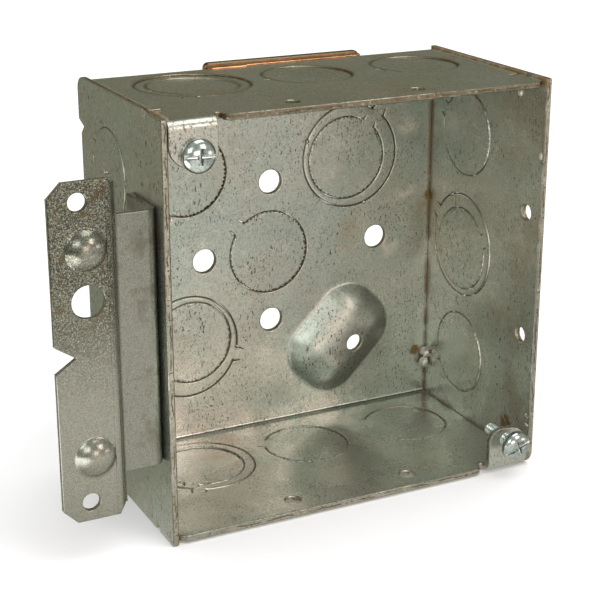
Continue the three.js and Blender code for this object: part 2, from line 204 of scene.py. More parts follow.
class Fold:
    """The section of a folded sheet, given as the corners of its outer face.

    The thickness lies to the left of the path, and each corner is a bend of inner radius BEND.
    """

    def __init__(self, path):
        points = [Vector(point) for point in path]
        headings = [math.atan2(*(b - a).yx) for a, b in zip(points, points[1:])]
        turns = [0.0]
        for before, after in zip(headings, headings[1:]):
            turns.append(math.remainder(after - before, 2 * math.pi))
        turns.append(0.0)
        self.starts = []
        self.stretches = []
        walked = 0.0
        for i, (a, b) in enumerate(zip(points, points[1:])):
            cut_start = self.face_radius(turns[i]) * math.tan(abs(turns[i]) / 2)
            cut_end = self.face_radius(turns[i + 1]) * math.tan(abs(turns[i + 1]) / 2)
            forward = heading_vector(headings[i])
            self.starts.append(walked - cut_start)
            self.stretches.append((walked, a + forward * cut_start, headings[i], 0.0, 1.0))
            walked += (b - a).length - cut_start - cut_end
            if turns[i + 1]:
                length = abs(turns[i + 1]) * (BEND + SHEET / 2)
                self.stretches.append((walked, b - forward * cut_end, headings[i], turns[i + 1], length))
                walked += length
        self.length = walked

    @staticmethod
    def face_radius(turn):
        return BEND + SHEET if turn > 0 else BEND

    def along(self, straight, distance):
        """The distance along the sheet of a point on a straight, measured from that straight's corner."""
        return self.starts[straight] + distance

    def bend_lines(self, steps=6):
        """Distances along the sheet at which a bend needs a line of vertices."""
        return [
            start + length * i / steps
            for start, _, _, turn, length in self.stretches
            if turn
            for i in range(steps + 1)
        ]

    def place(self, distance, depth):
        passed = [stretch for stretch in self.stretches if stretch[0] <= distance + 1e-6]
        start, point, heading, turn, length = (passed or self.stretches)[-1 if passed else 0]
        if not turn:
            return point + heading_vector(heading) * (distance - start) + left_of(heading) * depth
        radius = math.copysign(self.face_radius(turn), turn)
        centre = point + left_of(heading) * radius
        final = heading + turn * (distance - start) / length
        return centre + left_of(final) * (depth - radius)


# ---- making a sheet ----
def counter_clockwise(loop):
    area = sum(a.x * b.y - b.x * a.y for a, b in zip(loop, loop[1:] + loop[:1]))
    return loop if area > 0 else loop[::-1]


def triangulate(outline, holes, extra, creases):
    points, faces, edges = [], [], []
    for loop in (outline, *holes):
        faces.append(list(range(len(points), len(points) + len(loop))))
        points.extend(counter_clockwise(loop))
    for start, end in creases:
        edges.append((len(points), len(points) + 1))
        points.extend((start, end))
    points.extend(extra)
    flat, _, triangles, _, _, owners = delaunay_2d_cdt(points, edges, faces, 1, 1e-5, True)
    kept = [triangle for triangle, inside in zip(triangles, owners) if inside == [0]]
    return flat, kept


def open_edges(triangles):
    """The directed edges that only one triangle has."""
    directed = {(t[i], t[(i + 1) % 3]) for t in triangles for i in range(3)}
    return [(a, b) for a, b in directed if (b, a) not in directed]


def flat_relief(_):
    return 0.0


def plain_round(_):
    return INNER_ROUND


def sheet(name, outline, place, holes=(), extra=(), creases=(), relief=flat_relief, rounding=plain_round):
    """A sheet-metal piece: a flat outline with holes, its edges rounded, then folded by `place`.

    `relief` presses the sheet inwards at a point, and `rounding` is the radius of the edge there.
    """
    flat, triangles = triangulate(outline, holes, extra, creases)
    rims = sorted(open_edges(triangles))
    used = sorted({i for triangle in triangles for i in triangle})
    bm = bmesh.new()
    outer = {i: bm.verts.new((*flat[i], 0)) for i in used}
    inner = {i: bm.verts.new((*flat[i], SHEET)) for i in used}
    for a, b, c in triangles:
        bm.faces.new((inner[a], inner[b], inner[c]))
        bm.faces.new((outer[c], outer[b], outer[a]))
    groups = {}
    for a, b in rims:
        bm.faces.new((outer[a], outer[b], inner[b], inner[a]))
        groups.setdefault(rounding((flat[a] + flat[b]) / 2), []).append((a, b))
    for radius, edges in groups.items():
        for side, offset in ((inner, radius), (outer, min(radius, OUTER_ROUND))):
            if radius:
                bmesh.ops.bevel(
                    bm,
                    geom=[bm.edges.get((side[a], side[b])) for a, b in edges],
                    offset=offset,
                    offset_type="OFFSET",
                    segments=ROUND_STEPS,
                    profile=0.5,
                    affect="EDGES",
                )
    bm.normal_update()
    for face in bm.faces:
        face.material_index = 1 if abs(face.normal.z) < 0.25 else 0
    through = bm.verts.layers.float.new("through")
    for vertex in bm.verts:
        x, y, depth = vertex.co
        vertex[through] = depth / SHEET
        vertex.co = Vector(place(x, y, depth + relief(Vector((x, y))))) * MM
    return finish_mesh(name, bm)


def finish_mesh(name, bm, sharp=math.radians(40)):
    bmesh.ops.recalc_face_normals(bm, faces=bm.faces)
    for face in bm.faces:
        face.smooth = True
    for edge in bm.edges:
        edge.smooth = len(edge.link_faces) == 2 and edge.calc_face_angle(0) < sharp
    mesh = bpy.data.meshes.new(name)
    bm.to_mesh(mesh)
    bm.free()
    piece = bpy.data.objects.new(name, mesh)
    bpy.context.scene.collection.objects.link(piece)
    weighted = piece.modifiers.new("weighted_normals", "WEIGHTED_NORMAL")
    weighted.keep_sharp = True
    return piece


# ---- the five walls ----
# A wall's plan is a flat plane in which its knockouts are drawn: (x, z), (x, y) or (y, z).
PLANS = {
    "back": (lambda p: Vector((p.x, p.z)), lambda x, z, depth: (x, -depth, z)),
    "top": (lambda p: Vector((p.x, p.y)), lambda x, y, depth: (x, y, HALF - depth)),
    "bottom": (lambda p: Vector((p.x, p.y)), lambda x, y, depth: (x, y, depth - HALF)),
    "left": (lambda p: Vector((p.y, p.z)), lambda y, z, depth: (depth - HALF, y, z)),
    "right": (lambda p: Vector((p.y, p.z)), lambda y, z, depth: (HALF - depth, y, z)),
}


class Knockout:
    """A disc or ring of a wall, read from its CAD node and the joint that bends it out."""

    def __init__(self, node):
        self.node = node
        self.wall = node.split("_")[1]
        self.plan, self.unplan = PLANS[self.wall]
        low, high = corners(node)
        flat_low, flat_high = self.plan(low), self.plan(high)
        self.centre = (flat_low + flat_high) / 2
        self.radius = max(flat_high - flat_low) / 2
        joint = next(j for j in frame["joints"] if j["child"] == node)
        self.tie = (self.plan(Vector(joint["pos_m"]) / MM) - self.centre).normalized()
        self.parent = joint["parent"]

    def angle_of(self, point):
        offset = point - self.centre
        return math.remainder(math.atan2(*offset.yx) - math.atan2(*self.tie.yx), 2 * math.pi)

    def at(self, radius, angle):
        """A point at an angle from the tie."""
        return self.centre + radius * heading_vector(math.atan2(*self.tie.yx) + angle)

    def joined(self, point):
        """Whether an edge's middle lies where the tie holds the knockout to its wall."""
        near = abs((point - self.centre).length - self.radius) < HOLE_GAP / 2
        return near and abs(self.angle_of(point)) < self.tie_half() - TIE_SLIT / self.radius * 0.5

    def wall_rounding(self, point):
        """The rounding of an edge this knockout leaves in its wall, or None away from it."""
        away = (point - self.centre).length - self.radius
        if self.joined(point):
            return 0
        at_tie = away < self.reach() + HOLE_GAP * 2 and abs(self.angle_of(point)) < self.tie_half() * 1.1
        return WALL_ROUND if away < HOLE_GAP * 1.5 or at_tie else None

    def blank_rounding(self, point):
        away = abs((point - self.centre).length - self.radius)
        if away > HOLE_GAP / 2:
            return None
        return 0 if self.joined(point) else BLANK_ROUND

    def reach(self):
        return RINGED_TIE_REACH if self.parent in frame["nodes"] else TIE_REACH

    def tie_half(self):
        return TIE_WIDTH / 2 / self.radius

    def blank(self, count=120):
        return [self.at(self.radius, angle) for angle in self.round_angles(count)] + self.tie_arc(0)

    def round_angles(self, count=120):
        start = self.tie_half() - TIE_SLIT / self.radius
        step = (2 * math.pi - 2 * start) / count
        return [start + step * i for i in range(count + 1)]

    def tie_arc(self, extra, steps=6):
        """Points on the knockout's edge across the tie, without its two ends."""
        half = self.tie_half() - TIE_SLIT / self.radius
        return [self.at(self.radius + extra, half * (2 * i / steps - 1)) for i in range(1, steps)]

    def hole(self, count=120):
        """The edge this knockout leaves in the wall, with a slit on each side of the tie."""
        half = self.tie_half()
        slit = TIE_SLIT / self.radius
        outside = self.radius + HOLE_GAP
        step = (2 * math.pi - 2 * half) / count
        edge = [self.at(outside, half + step * i) for i in range(count + 1)]
        far = outside + self.reach()
        fit = 0.01
        edge += [
            self.at(far, TIE_NARROWING - half - slit * 0.1),
            self.at(far, TIE_NARROWING - half + slit * 0.1),
            self.at(self.radius + fit, -half + slit),
        ]
        edge += self.tie_arc(fit)
        edge += [
            self.at(self.radius + fit, half - slit),
            self.at(far, half - TIE_NARROWING - slit * 0.1),
            self.at(far, half - TIE_NARROWING + slit * 0.1),
        ]
        return edge

    def tilt(self, point):
        """How far the knockout's face stands from the wall's at a point: none at the tie.

        A ring isn't pushed outwards, so that its disc's tie stays on the disc's own hinge.
        """
        hinge = self.at(self.radius, 0)
        share = (hinge - point).dot(self.tie) / (2 * self.radius)
        outwards = 0.0 if self.node.endswith("_ring") else PUSHED_OUT
        push = {"right": -PUSHED_IN, "top": -TOP_PUSHED_IN}.get(self.wall, outwards)
        return -push * max(0.0, share)


knockouts = {
    name: Knockout(name) for name in sorted(frame["nodes"]) if name.startswith("knockout_")
}


def knockouts_of(wall):
    """The knockouts that leave an edge in the wall itself."""
    return [k for k in knockouts.values() if k.wall == wall and k.parent == "root"]


def build_knockout(knockout):
    inner_disc = next((k for k in knockouts.values() if k.parent == knockout.node), None)
    carrier = knockouts.get(knockout.parent)
    holes = [inner_disc.hole()] if inner_disc else []
    if knockout.node in ("knockout_left_upper_disc", "knockout_left_lower_disc"):
        length, width = PRY_SLOT_LENGTH / 2, PRY_SLOT_WIDTH / 2
        slot = [(-length, -width, width * 0.9), (length, -width, width * 0.9)]
        slot += [(length, width, width * 0.9), (-length, width, width * 0.9)]
        holes.append([knockout.centre + point for point in rounded(slot, 4)])

    def relief(point):
        return knockout.tilt(point) + (carrier.tilt(point) if carrier else 0.0)

    def rounding(point):
        found = knockout.blank_rounding(point)
        if found is None and inner_disc:
            found = inner_disc.wall_rounding(point)
        return OUTER_ROUND if found is None else found

    return sheet(
        knockout.node.replace("knockout", "plug"),
        knockout.blank(),
        knockout.unplan,
        holes=holes,
        relief=relief,
        rounding=rounding,
    )


def wall_rounding(own_knockouts, point):
    """The rounding of a wall's edge: small round its knockouts, none at their ties."""
    found = [knockout.wall_rounding(point) for knockout in own_knockouts]
    return next((radius for radius in found if radius is not None), INNER_ROUND)


def dress(piece, body, nodes, materials):
    """Puts a piece on its body, in place of its CAD nodes."""
    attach(piece, body)
    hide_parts(*nodes)
    for material in materials:
        piece.data.materials.append(material)
    return piece


# ---- box channel ----
side_fold = Fold([(0, 0), (0, HALF), (FRONT, HALF)])
ear_fold = Fold([(0, 0), (0, HALF), (FRONT, HALF), (FRONT, HALF - EAR_DROP)])
EAR_EDGE = EAR_WIDTH - CHANNEL_HALF


def channel_place(x, spread, depth):
    """Folds the channel: `spread` runs up from the middle of the back and round to the front."""
    side = 1 if spread >= 0 else -1
    on_ear_side = x * side < EAR_EDGE + RELIEF_WIDTH / 2
    y, z = (ear_fold if on_ear_side else side_fold).place(abs(spread), depth)
    return (x, y, z * side)


def spread_of(y):
    """Where a place on the top or bottom wall lies on the unfolded sheet."""
    return side_fold.along(1, -y)


def on_channel(knockout, loop):
    """A loop of a wall's plan, drawn on the unfolded channel."""
    if knockout.wall == "back":
        return loop
    side = 1 if knockout.wall == "top" else -1
    return [Vector((point.x, side * spread_of(point.y))) for point in loop]


def off_channel(wall, point):
    if wall == "back":
        return point
    return Vector((point.x, side_fold.along(1, 0) - abs(point.y)))


def half_outline():
    """The channel's outline from the right end round its upper front edge to the left end."""
    front = spread_of(FRONT)
    key_far = spread_of(FRONT + KEY_FROM_FRONT + KEY_WIDTH)
    key_near = spread_of(FRONT + KEY_FROM_FRONT)
    ear_tip = ear_fold.length
    edge = CHANNEL_HALF
    relief = EAR_EDGE + RELIEF_WIDTH
    return [
        (edge, key_far),
        (edge - KEY_LENGTH, key_far),
        (edge - KEY_LENGTH, key_near),
        (edge, key_near),
        (edge, front - CORNER_CUT),
        (edge - CORNER_CUT, front),
        (relief, front, 1.9),
        (relief, front - RELIEF_DEPTH, 0.8),
        (EAR_EDGE, front - RELIEF_DEPTH, 0.8),
        (EAR_EDGE, ear_tip, EAR_INNER_CORNER),
        (-edge, ear_tip, EAR_OUTER_CORNER),
        (-edge, key_near),
        (KEY_LENGTH - edge, key_near),
        (KEY_LENGTH - edge, key_far),
        (-edge, key_far),
    ]


def boss_relief(point):
    inside = boss_depth(point)
    foot = (inside + math.hypot(inside, BOSS_FOOT)) / 2
    share = min(1.0, max(0.0, foot - BOSS_FOOT / 12) / (BOSS_WIDTH / 2))
    return BOSS_RISE * (1 - (1 - share) ** BOSS_ROUNDNESS) * smooth(-2.5, -0.5, inside)


def build_channel():
    upper = half_outline()
    lower = [(-x, -y, *radius) for x, y, *radius in upper]
    holes, walls = [], ("back", "top", "bottom")
    for wall in walls:
        holes += [on_channel(k, k.hole()) for k in knockouts_of(wall)]
    fixings = [(0, FIXING_PITCH), (0, -FIXING_PITCH), (-FIXING_PITCH, 0), (FIXING_RIGHT, 0)]
    holes += [circle(Vector(place), FIXING_RADIUS, 40) for place in fixings]
    rim_spread = spread_of(FRONT + RIM_HOLE_FROM_FRONT)
    screw_spread = ear_fold.along(2, HALF - screw_place.y)
    for side in (1, -1):
        for x in (-RIM_HOLE_SPACING, RIM_HOLE_SPACING):
            holes.append(circle(Vector((x, side * rim_spread)), RIM_HOLE_RADIUS, 32))
        holes.append(circle(Vector((-side * screw_place.x, side * screw_spread)), EAR_HOLE_RADIUS, 32))
    holes.append(circle(BOSS_HOLE, BOSS_HOLE_RADIUS, 40))
    creases = []
    for side in (1, -1):
        for spread in side_fold.bend_lines():
            creases.append((Vector((-CHANNEL_HALF, side * spread)), Vector((CHANNEL_HALF, side * spread))))
        for spread in ear_fold.bend_lines()[7:]:
            ends = (-CHANNEL_HALF * side, EAR_EDGE * side)
            creases.append(tuple(Vector((x, side * spread)) for x in ends))
    extra = []
    for i in range(28):
        inset = i * 0.25 - 1.5 if i < 14 else (i - 14) * 0.7 + 2
        extra += boss_ring(inset, max(8, 96 - 5 * max(0, i - 12)))

    def rounding(point):
        for wall in walls:
            if wall == "back" or (point.y > 0) == (wall == "top"):
                radius = wall_rounding(knockouts_of(wall), off_channel(wall, point))
                if radius != INNER_ROUND:
                    return radius
        return INNER_ROUND

    return sheet(
        "channel",
        rounded(upper + lower),
        channel_place,
        holes=holes,
        extra=[point for point in extra if (point - BOSS_HOLE).length > BOSS_HOLE_RADIUS + 0.3],
        creases=creases,
        relief=boss_relief,
        rounding=rounding,
    )


# ---- side plates ----
def rim_holes_of_side():
    return [
        circle(Vector((FRONT + RIM_HOLE_FROM_FRONT, z)), RIM_HOLE_RADIUS, 32)
        for z in (-RIM_HOLE_SPACING, RIM_HOLE_SPACING)
    ]


def build_right_plate():
    outline = [
        (FRONT, -PLATE_TOP, RIGHT_CORNER),
        (0, -PLATE_TOP, 0.3),
        (0, PLATE_TOP, 0.3),
        (FRONT, PLATE_TOP, 0.6),
    ]
    mine = knockouts_of("right")
    return sheet(
        "plate_right",
        rounded(outline),
        PLANS["right"][1],
        holes=[k.hole() for k in mine] + rim_holes_of_side(),
        rounding=lambda point: wall_rounding(mine, point),
    )


def build_left_plate():
    lug_reach = corners("side_plate_left")[1].y
    outline = [
        (FRONT, -PLATE_TOP, 0.5),
        (FRONT + PLATE_NOTCH_FROM, -PLATE_TOP),
        (FRONT + PLATE_NOTCH_FROM, PLATE_NOTCH_DEPTH - PLATE_TOP),
        (FRONT + PLATE_NOTCH_TO, PLATE_NOTCH_DEPTH - PLATE_TOP),
        (FRONT + PLATE_NOTCH_TO, -PLATE_TOP),
        (0, -PLATE_TOP, 0.3),
        (0, LUG_NOTCH_FOOT),
        (-LUG_NOTCH, LUG_TIP),
        (lug_reach, LUG_FOOT),
        (lug_reach, PLATE_TOP, LUG_CORNER),
        (FRONT + PLATE_NOTCH_TO, PLATE_TOP),
        (FRONT + PLATE_NOTCH_FROM, HALF),
        (FRONT, HALF, 0.5),
    ]
    mine = knockouts_of("left")
    return sheet(
        "plate_left",
        rounded(outline),
        PLANS["left"][1],
        holes=[k.hole() for k in mine],
        rounding=lambda point: wall_rounding(mine, point),
    )


# ---- stud bracket ----
def dimple_relief(height):
    ball = (DIMPLE_RADIUS**2 + DIMPLE_RISE**2) / (2 * DIMPLE_RISE)

    def relief(point):
        away = (point - Vector((DIMPLE.x - bracket_low.x, height))).length
        cap = math.sqrt(max(0.0, ball**2 - away**2)) - (ball - DIMPLE_RISE)
        blend = 0.25
        return -max(0.0, (cap + math.sqrt(cap**2 + blend**2)) / 2 - smooth(3, 7, away) * blend)

    return relief


def build_bracket():
    left = bracket_low.x
    half_height = bracket_high.z
    leg_face = bracket_high.x
    fold = Fold(
        [
            (left, FRONT),
            (FLANGE_FOLD, FRONT),
            (FLANGE_FOLD + STEP_BACK / math.tan(STEP_LEAN), FRONT + STEP_BACK),
            (leg_face, FRONT + STEP_BACK),
            (leg_face, bracket_high.y),
        ]
    )
    step_end = fold.along(2, STEP_RIGHT - (FLANGE_FOLD + STEP_BACK / math.tan(STEP_LEAN)))
    upper = [
        (0, FLANGE_NOTCH_HALF, 0.3),
        (0, half_height - FLANGE_BEVEL, 0.4),
        (FLANGE_BEVEL, half_height, 0.4),
        (FOLD_RELIEF_FROM - left, half_height, 0.3),
        (FOLD_RELIEF_TO - left, STEP_HALF_HEIGHT),
        (step_end, STEP_HALF_HEIGHT, 0.3),
        (step_end, LEG_HALF_HEIGHT, 0.3),
        (fold.length, LEG_HALF_HEIGHT, 0.5),
    ]
    lower = [(x, -z, *radius) for x, z, *radius in reversed(upper)]
    outline = rounded([(FLANGE_NOTCH_DEPTH, 0, 0.3), *upper, *lower])
    flange_hole = lambda place, side, radius: circle(Vector((place.x - left, side * place.y)), radius, 40)
    holes = [
        flange_hole(NAIL_HOLE, 1, NAIL_HOLE_RADIUS),
        flange_hole(NAIL_HOLE, -1, NAIL_HOLE_RADIUS),
        flange_hole(BIG_HOLE, 1, BIG_HOLE_RADIUS),
    ]
    creases = []
    for distance in fold.bend_lines():
        reach = STEP_HALF_HEIGHT if distance < step_end else LEG_HALF_HEIGHT
        creases.append((Vector((distance, -reach)), Vector((distance, reach))))
    reliefs = [dimple_relief(DIMPLE.y), dimple_relief(-DIMPLE.y)]
    extra = []
    for side in (1, -1):
        centre = Vector((DIMPLE.x - left, side * DIMPLE.y))
        extra.append(centre)
        for i in range(1, 19):
            extra += circle(centre, i * 0.36, 12 + 3 * i)
    return sheet(
        "bracket",
        outline,
        lambda distance, z, depth: (*fold.place(distance, depth), z),
        holes=holes,
        extra=extra,
        creases=creases,
        relief=lambda point: sum(relief(point) for relief in reliefs),
    )


# ---- strip behind the top of the back ----
def build_strip():
    low, high = corners("rear_top_strip")
    outline = [
        (low.x, low.z, 1),
        (high.x, low.z, 1),
        (high.x, high.z, 1.4),
        (low.x, high.z, 1.4),
    ]
    return sheet("top_strip", rounded(outline), lambda x, z, depth: (x, high.y - depth, z))


# ---- cover screws ----
screw_low, screw_high = corners("cover_screw_upper")
screw_place = Vector(((screw_low.x + screw_high.x) / 2, (screw_low.z + screw_high.z) / 2))


def turned(rows, sides=64):
    """A closed body round the Y axis; a row is (y, radius at an angle)."""
    bm = bmesh.new()
    rings = []
    for y, radius in rows:
        ring = []
        for i in range(sides):
            angle = 2 * math.pi * i / sides
            reach = radius(angle)
            ring.append(bm.verts.new((reach * math.cos(angle), y, reach * math.sin(angle))))
        rings.append(ring)
    for lower, upper in zip(rings, rings[1:]):
        for i in range(sides):
            j = (i + 1) % sides
            bm.faces.new((lower[i], lower[j], upper[j], upper[i]))
    bm.faces.new(rings[0][::-1])
    bm.faces.new(rings[-1])
    return bm


def screw_rows(head, length):
    """Rows from the crown of the head (negative y) to the tip, the seat at y = 0."""
    rows = []
    for i in range(1, 13):
        angle = math.pi / 2 * (1 - i / 12)
        radius = head * math.cos(angle) ** 0.9
        rise = SCREW_RIM + (SCREW_CROWN - SCREW_RIM) * math.sin(angle)
        rows.append((-rise, lambda _, r=radius: r))
    rows.append((-0.12, lambda _: head))
    rows.append((0, lambda _: head - 0.12))
    rows.append((0, lambda _: SCREW_SHANK - SCREW_THREAD / 2))
    per_pitch = 10
    count = int(length / SCREW_PITCH * per_pitch)
    for i in range(1, count):
        y = length * i / count

        def thread(angle, y=y):
            turn = (y / SCREW_PITCH - angle / (2 * math.pi)) % 1
            crest = 1 - abs(2 * turn - 1)
            fade = min(smooth(0, 0.8, y), smooth(0, 0.9, length - y))
            return SCREW_SHANK - SCREW_THREAD * (1 - min(1, crest * 1.25) * fade)

        rows.append((y, thread))
    rows.append((length, lambda _: SCREW_SHANK - SCREW_THREAD - 0.35))
    return rows


def cut(piece, cutters):
    """Cuts closed meshes out of a piece, and removes them."""
    for cutter in cutters:
        modifier = piece.modifiers.new("cut", "BOOLEAN")
        modifier.operation = "DIFFERENCE"
        modifier.solver = "EXACT"
        modifier.object = cutter
    bpy.context.view_layer.update()
    evaluated = piece.evaluated_get(bpy.context.evaluated_depsgraph_get())
    mesh = bpy.data.meshes.new_from_object(evaluated)
    piece.modifiers.clear()
    piece.data = mesh
    for cutter in cutters:
        bpy.data.objects.remove(cutter)


def recess(half_length, half_width, depth):
    """A slot cutter with a rounded floor, its mouth above the crown."""
    bm = bmesh.new()
    section = [(-half_width, -SCREW_CROWN - 1), (half_width, -SCREW_CROWN - 1)]
    floor = -SCREW_CROWN + depth
    for i in range(7):
        angle = math.pi * i / 6
        section.append((half_width * math.cos(angle), floor - 0.25 + 0.25 * math.sin(angle)))
    ends = [[bm.verts.new((x, y, z)) for z, y in section] for x in (-half_length, half_length)]
    count = len(section)
    for i in range(count):
        j = (i + 1) % count
        bm.faces.new((ends[0][i], ends[0][j], ends[1][j], ends[1][i]))
    bm.faces.new(ends[0][::-1])
    bm.faces.new(ends[1])
    bmesh.ops.recalc_face_normals(bm, faces=bm.faces)
    mesh = bpy.data.meshes.new("recess")
    bm.to_mesh(mesh)
    bm.free()
    cutter = bpy.data.objects.new("recess", mesh)
    bpy.context.scene.collection.objects.link(cutter)
    return cutter


def build_screw(node, turn):
    low, high = corners(node)
    head = (high.x - low.x) / 2
    bm = turned(screw_rows(head, high.y - low.y - SCREW_CROWN))
    bmesh.ops.recalc_face_normals(bm, faces=bm.faces)
    mesh = bpy.data.meshes.new(node)
    bm.to_mesh(mesh)
    bm.free()
    piece = bpy.data.objects.new(node.replace("cover_screw", "screw"), mesh)
    bpy.context.scene.collection.objects.link(piece)
    cross = recess(1.9, 0.5, 1.5)
    cross.rotation_euler.y = math.radians(90)
    cut(piece, [recess(head + 1, 0.5, 1.15), cross])
    bm = bmesh.new()
    bm.from_mesh(piece.data)
    spin = math.radians(turn)
    seat = Vector(((low.x + high.x) / 2, low.y + SCREW_CROWN, (low.z + high.z) / 2))
    for vertex in bm.verts:
        x, y, z = vertex.co
        turned_x = x * math.cos(spin) + z * math.sin(spin)
        turned_z = z * math.cos(spin) - x * math.sin(spin)
        vertex.co = (seat + Vector((turned_x, y, turned_z))) * MM
    bpy.data.objects.remove(piece)
    piece = finish_mesh(node.replace("cover_screw", "screw"), bm, math.radians(34))
    edge = piece.modifiers.new("edge", "BEVEL")
    edge.width = 0.07 * MM
    edge.segments = 2
    edge.limit_method = "ANGLE"
    edge.angle_limit = math.radians(50)
    piece.modifiers.move(1, 0)
    return piece


# ---- weld beads, shear nubs and the rolled lip of the strip ----
def ellipsoid(name, centre, radii, lumps=0.0):
    """A closed rounded lump; `lumps` is how far its surface wanders, as a share of its size."""
    bm = bmesh.new()
    bmesh.ops.create_icosphere(bm, subdivisions=4, radius=1)
    for vertex in bm.verts:
        x, y, z = vertex.co
        wander = math.sin(3.1 * x + 2.3 * y) + math.sin(4.3 * z - 1.7 * x) + math.sin(5.7 * y + 2 * z)
        scale = 1 + lumps * wander / 3
        vertex.co = [(c + r * scale * v) * MM for c, r, v in zip(centre, radii, (x, y, z))]
    return finish_mesh(name, bm)


def rolled_bar(name, start, end, reach_y, reach_z):
    """A bar along X with an oval section and rounded ends; `start` and `end` are its ends' middles."""
    bm = bmesh.new()
    sides, rounds = 32, 6
    insets = [reach_z * (1 - math.cos(math.pi / 2 * i / rounds)) for i in range(rounds + 1)]
    stations = [(start.x + insets[i], i) for i in range(1, rounds + 1)]
    stations += [(end.x - insets[i], i) for i in range(rounds, 0, -1)]
    rings = []
    for x, i in stations:
        swell = math.sin(math.pi / 2 * i / rounds)
        centre = start.lerp(end, (x - start.x) / (end.x - start.x))
        ring = []
        for j in range(sides):
            spoke = heading_vector(2 * math.pi * j / sides) * swell
            y, z = centre.y + reach_y * spoke.x, centre.z + reach_z * spoke.y
            ring.append(bm.verts.new((x * MM, y * MM, z * MM)))
        rings.append(ring)
    for lower, upper in zip(rings, rings[1:]):
        for j in range(sides):
            k = (j + 1) % sides
            bm.faces.new((lower[j], lower[k], upper[k], upper[j]))
    bm.faces.new(rings[0])
    bm.faces.new(rings[-1][::-1])
    return finish_mesh(name, bm)


def add_detail(piece, body, material):
    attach(piece, body)
    piece.data.materials.append(material)


NUB_RADIUS = 0.62


def build_details(weld, metal, lip_metal):
    seam = INNER - 0.5
    beads = [
        (Vector((seam, -2.8, -36.6)), (1.8, 1.9, 1.5)),
        (Vector((seam - 0.9, -3.4, -39.4)), (1.3, 1.4, 1.7)),
        (Vector((seam + 0.2, -2.2, 42.5)), (1.0, 1.1, 2.4)),
        (Vector((INNER - 0.1, FRONT + 10.7, HALF - 4.5)), (0.5, 0.9, 1.1)),
        (Vector((INNER - 0.1, FRONT + 10.5, 4.5 - HALF)), (0.6, 1.2, 1.3)),
        (Vector((INNER, FRONT + 1, -37.4)), (0.35, 0.8, 0.6)),
        (Vector((INNER, FRONT + 0.9, -40)), (0.3, 0.7, 0.5)),
        (Vector((INNER, FRONT + 0.9, 32)), (0.3, 0.6, 0.9)),
        (Vector((0.4 - CHANNEL_HALF, FRONT + 1, 28.5)), (0.35, 0.7, 0.6)),
    ]
    for i, (centre, radii) in enumerate(beads):
        add_detail(ellipsoid(f"weld_bead_{i + 1}", centre, radii, 0.12), "root", weld)
    nubs = [("knockout_back_upper_right_ring", 158), ("knockout_back_upper_right_ring", -72)]
    nubs += [("knockout_right_middle_ring", 68), ("knockout_right_middle_ring", -100)]
    for i, (node, angle) in enumerate(nubs):
        ring = knockouts[node]
        flat = ring.centre + ring.radius * heading_vector(math.radians(angle))
        centre = ring.unplan(flat.x, flat.y, SHEET + 0.02 - max(0.0, -ring.tilt(flat)))
        nub = ellipsoid(f"shear_nub_{i + 1}", centre, (NUB_RADIUS,) * 3)
        add_detail(nub, node, metal)
    low, high = corners("rear_top_strip")
    level = HALF + 0.1
    lips = [
        ("strip_lip", Vector((low.x + 0.2, -0.9, level)), Vector((high.x - 0.5, -0.9, level)), 1.3, 0.36),
        ("strip_tab", Vector((low.x + 0.3, -1.8, level)), Vector((low.x + 10.6, -1.9, level)), 1.6, 0.5),
    ]
    for name, start, end, reach_y, reach_z in lips:
        add_detail(rolled_bar(name, start, end, reach_y, reach_z), "root", lip_metal)


